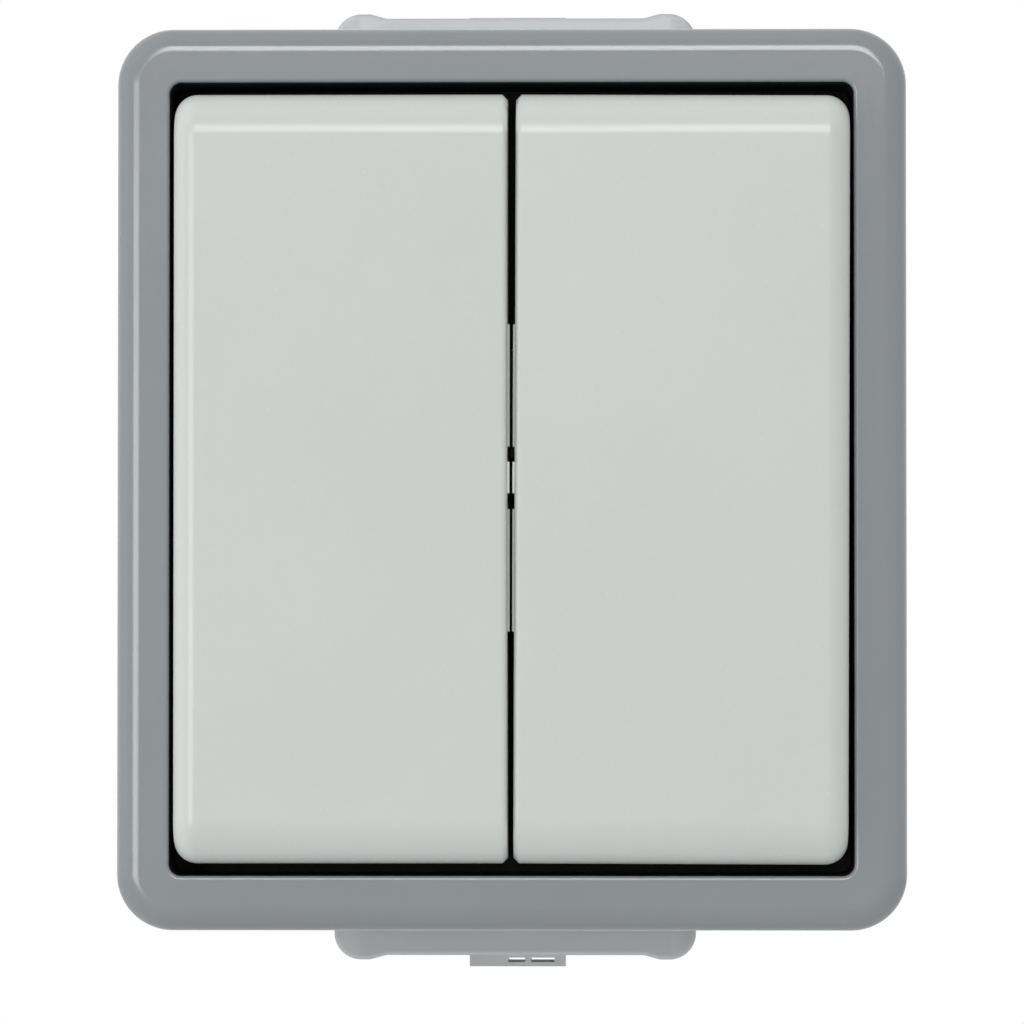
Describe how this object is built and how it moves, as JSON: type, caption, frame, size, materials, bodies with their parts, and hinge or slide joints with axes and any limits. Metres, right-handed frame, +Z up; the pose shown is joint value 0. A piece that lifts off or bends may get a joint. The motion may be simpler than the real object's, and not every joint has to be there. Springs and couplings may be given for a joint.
{
  "type": "outdoor weatherproof switch",
  "caption": "Surface-mounted weatherproof light switch: side-by-side rockers in a grey frame on a sealed box with cable entries at its top and bottom.",
  "frame": {"origin": "centre of the back face, on the wall's plane", "axes": "+Z up, +X to the right for a viewer who faces the front, and the front faces -Y"},
  "size_m": [0.066, 0.0503, 0.0852],
  "materials": {
    "frame": "satin grey moulding",
    "box": "fine matt grey moulding",
    "rocker": "light grey satin moulding",
    "seal": "soft black rubber",
    "steel": "zinc plated steel",
    "socket": "white thermoset moulding",
    "cover": "black moulding",
    "plunger": "natural low friction plastic",
    "brass": "plain brass"
  },
  "bodies": {
    "housing": {"base_box": "box", "cable_entry_bottom": "box", "cable_entry_top": "box", "earth_terminal": "brass", "fixed_contact_left": "brass", "fixed_contact_right": "brass", "frame_gasket": "seal", "front_frame": "frame", "live_busbar": "brass", "mechanism_cover": "cover", "mechanism_socket": "socket", "rocker_axle": "steel", "seal_membrane": "seal", "support_yoke": "steel", "switched_strip_left": "brass", "switched_strip_right": "brass", "terminal_cages": "brass"},
    "left_rocker": {"rocker_left": "rocker", "carrier_left": "cover", "snap_plunger_left": "plunger", "snap_spring_left": "steel"},
    "left_seesaw": {"contact_seesaw_left": "brass", "moving_contact_left": "brass"},
    "right_rocker": {"rocker_right": "rocker", "carrier_right": "cover", "snap_plunger_right": "plunger", "snap_spring_right": "steel"},
    "right_seesaw": {"contact_seesaw_right": "brass", "moving_contact_right": "brass"}
  },
  "joints": [
    {"name": "left_rocker_tilt", "type": "hinge", "parent": "housing", "child": "left_rocker", "pos_m": [-0.0111, -0.0385, 0], "axis": [1, 0, 0], "range_deg": [-4.5, 4.5]},
    {"name": "left_seesaw_tilt", "type": "hinge", "parent": "housing", "child": "left_seesaw", "pos_m": [-0.0111, -0.0205, 0], "axis": [1, 0, 0], "range_deg": [-7.25, 7.25]},
    {"name": "right_rocker_tilt", "type": "hinge", "parent": "housing", "child": "right_rocker", "pos_m": [0.0111, -0.0385, 0], "axis": [1, 0, 0], "range_deg": [-4.5, 4.5]},
    {"name": "right_seesaw_tilt", "type": "hinge", "parent": "housing", "child": "right_seesaw", "pos_m": [0.0111, -0.0205, 0], "axis": [1, 0, 0], "range_deg": [-7.25, 7.25]}
  ],
  "couplings": [
    {"joint": "left_seesaw_tilt", "follows": "left_rocker_tilt", "ratio": -1.6},
    {"joint": "right_seesaw_tilt", "follows": "right_rocker_tilt", "ratio": -1.6}
  ]
}
